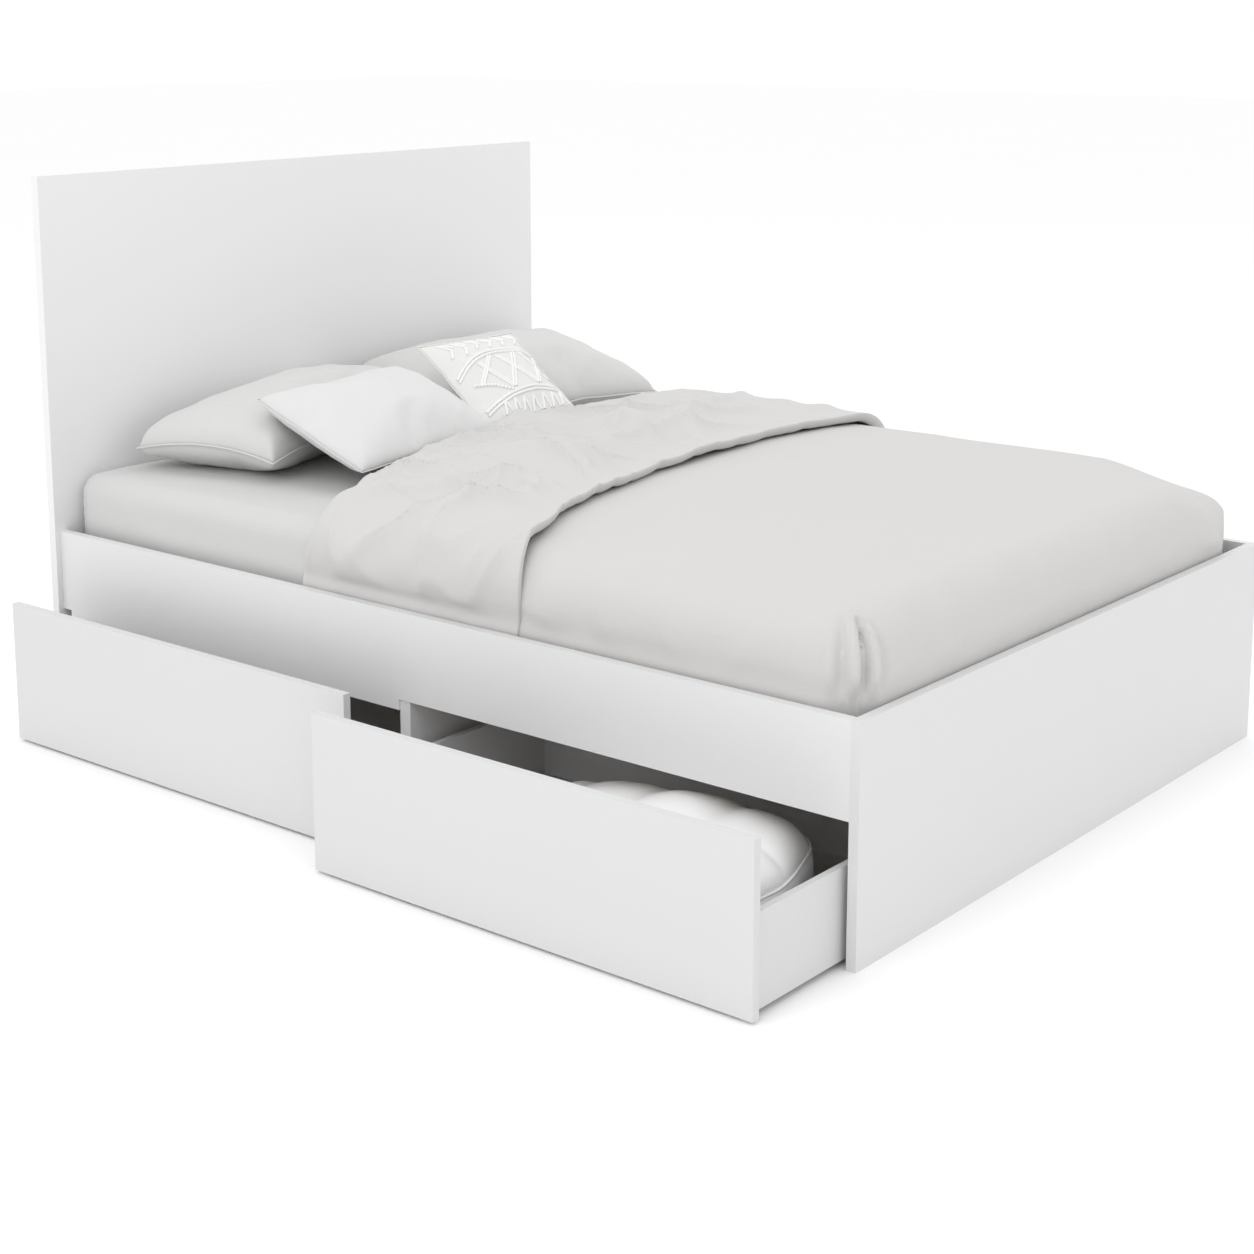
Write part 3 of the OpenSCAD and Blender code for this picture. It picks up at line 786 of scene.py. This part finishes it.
for (x0, y0), (x1, y1) in LATTICE:  # double lines
    for dx in (-0.028, 0.028):
        cords.append(([(x0 + dx, y0), (x1 + dx, y1)], 0.0031))
for k in range(7):  # zigzag bars along the bottom
    x = -0.52 + k * 0.21
    cords.append(([(x, -0.88), (x + 0.08, -0.62)], 0.0032))
    cords.append(([(x + 0.15, -0.88), (x + 0.09, -0.62)], 0.0032))
for i, (path, r) in enumerate(cords):
    line = laid(path)
    if len(line) > 2:
        tube(f"tufted_cord_{i:02d}", line, r, "tufted_cotton", sides=2, skin="tufted_cord")
bm = bmesh.new()
for p in laid(BEAD_LINE, BEAD_STEP, 0.001):
    bmesh.ops.create_uvsphere(bm, u_segments=8, v_segments=6, radius=BEAD_R,
                              matrix=Matrix.Translation(p))
me = bpy.data.meshes.new("tufted_beads")
bm.to_mesh(me)
bm.free()
me.shade_smooth()
bead_obj = bpy.data.objects.new("tufted_beads", me)
scene.collection.objects.link(bead_obj)
dress(bead_obj, MATS["tufted_cord"])
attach(bead_obj, "bed")

# the quilt kept in the foot-end drawer: folded, puffed between its stitch lines
STITCH_X, STITCH_Y = 0.15, 0.17
SEAM_HEIGHTS = (0.060, 0.112)
SEAM_R = 0.0024
SEAM_POINTS = 120
low, high = (np.array(v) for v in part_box("stored_quilt"))
middle, reach = (low + high) / 2, (high - low) / 2
pts, nrm, faces = rounded_block(low + 0.004, high - 0.006, 0.062, 44)
gx, gy = pts[:, 0] / STITCH_X + 0.2, pts[:, 1] / STITCH_Y + 0.3
cells = (np.abs(np.sin(gx * math.pi)) * np.abs(np.sin(gy * math.pi))) ** 0.45
upper = smooth((pts[:, 2] - low[2] - 0.02) / 0.05)
lump = 0.015 * (cells - 0.8) + 0.010 * field(pts, 5.0, 61) + 0.003 * field(pts, 14.0, 62)
pts += nrm * (lump * upper)[:, None]
dome_x = 1 - np.abs((pts[:, 0] - middle[0]) / reach[0]).clip(0, 1) ** 2.4
dome_y = 1 - np.abs((pts[:, 1] - middle[1] + 0.06) / reach[1]).clip(0, 1) ** 2.4
dome = dome_x * dome_y
pts[:, 2] += 0.016 * upper * dome - 0.026 * upper * (1 - dome)
back = smooth((pts[:, 0] - middle[0] + 0.05) / (reach[0] + 0.05))
foot_part = smooth((middle[1] - pts[:, 1]) / reach[1])
pts[:, 1] += foot_part * (0.006 + 0.062 * back)
pts[:, 2] = np.maximum(pts[:, 2], low[2] + 0.001)
quilt = mesh_object("stored_quilt_body", pts, faces, "quilt_cotton", "drawer_2")
refine(quilt)
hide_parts("stored_quilt")
quilt_tree = BVHTree.FromPolygons([v.co.copy() for v in quilt.data.vertices],
                                  [list(f.vertices) for f in quilt.data.polygons])
for row, height in enumerate(SEAM_HEIGHTS):
    seam = []
    for k in range(SEAM_POINTS):
        t = math.tau * k / SEAM_POINTS
        out = Vector((math.cos(t), math.sin(t) * 1.6, 0)).normalized()
        start = Vector((middle[0], middle[1], low[2] + height)) + out * 0.6
        hit = quilt_tree.ray_cast(start, -out)[0]
        if hit is not None:
            seam.append(tuple(hit + out * 0.0004))
    tube(f"stored_quilt_seam_{row}", seam, SEAM_R, "quilt_cotton", "drawer_2", closed=True)

# ---------------------------------------------------------------- studio
FLOOR = 30.0  # half its side
FLOOR_COLOR = (0.985, 0.985, 0.985)
me = bpy.data.meshes.new("floor")
corners = [(-FLOOR, -FLOOR, 0), (FLOOR, -FLOOR, 0), (FLOOR, FLOOR, 0), (-FLOOR, FLOOR, 0)]
me.from_pydata(corners, [], [(0, 1, 2, 3)])
floor = bpy.data.objects.new("floor", me)
scene.collection.objects.link(floor)
paint, n, l, shader, co = material("floor_paint", FLOOR_COLOR, 0.9, specular=0.0)
tint(n, l, shader, noise_tex(n, l, co, 0.7, 2), FLOOR_COLOR, 0.004)
dress(floor, paint)

world = bpy.data.worlds.new("studio")
world.use_nodes = True
background = world.node_tree.nodes["Background"]
background.inputs["Color"].default_value = (1, 1, 1, 1)
background.inputs["Strength"].default_value = 1.0
scene.world = world


def area_light(name, where, target, size, power):
    """A soft rectangular light, turned to its target."""
    data = bpy.data.lights.new(name, "AREA")
    data.shape = "RECTANGLE"
    data.size, data.size_y = size
    data.energy = power
    obj = bpy.data.objects.new(name, data)
    obj.location = where
    obj.rotation_euler = (Vector(target) - Vector(where)).to_track_quat("-Z", "Y").to_euler()
    scene.collection.objects.link(obj)


area_light("key", (-4.5, -1.0, 4.2), (0, 0, 0.4), (3.5, 3.0), 60)
area_light("top", (0.8, 0.5, 5.5), (0, 0, 0.4), (4.0, 4.0), 40)

camera = bpy.data.cameras.new("camera")
camera.lens = 63.409
camera.sensor_width = 36
camera.shift_y = -0.15
camera.clip_end = 100
cam = bpy.data.objects.new("camera", camera)
YAW, PITCH = 0.8894, 0.1945  # from +Y towards +X, and down, in radians
cam.location = (-3.4160, -2.7041, 1.4661)
level = math.cos(PITCH)
ahead = Vector((math.sin(YAW) * level, math.cos(YAW) * level, -math.sin(PITCH)))
cam.rotation_euler = ahead.to_track_quat("-Z", "Y").to_euler()
scene.collection.objects.link(cam)
scene.camera = cam
scene.view_settings.view_transform = "Standard"
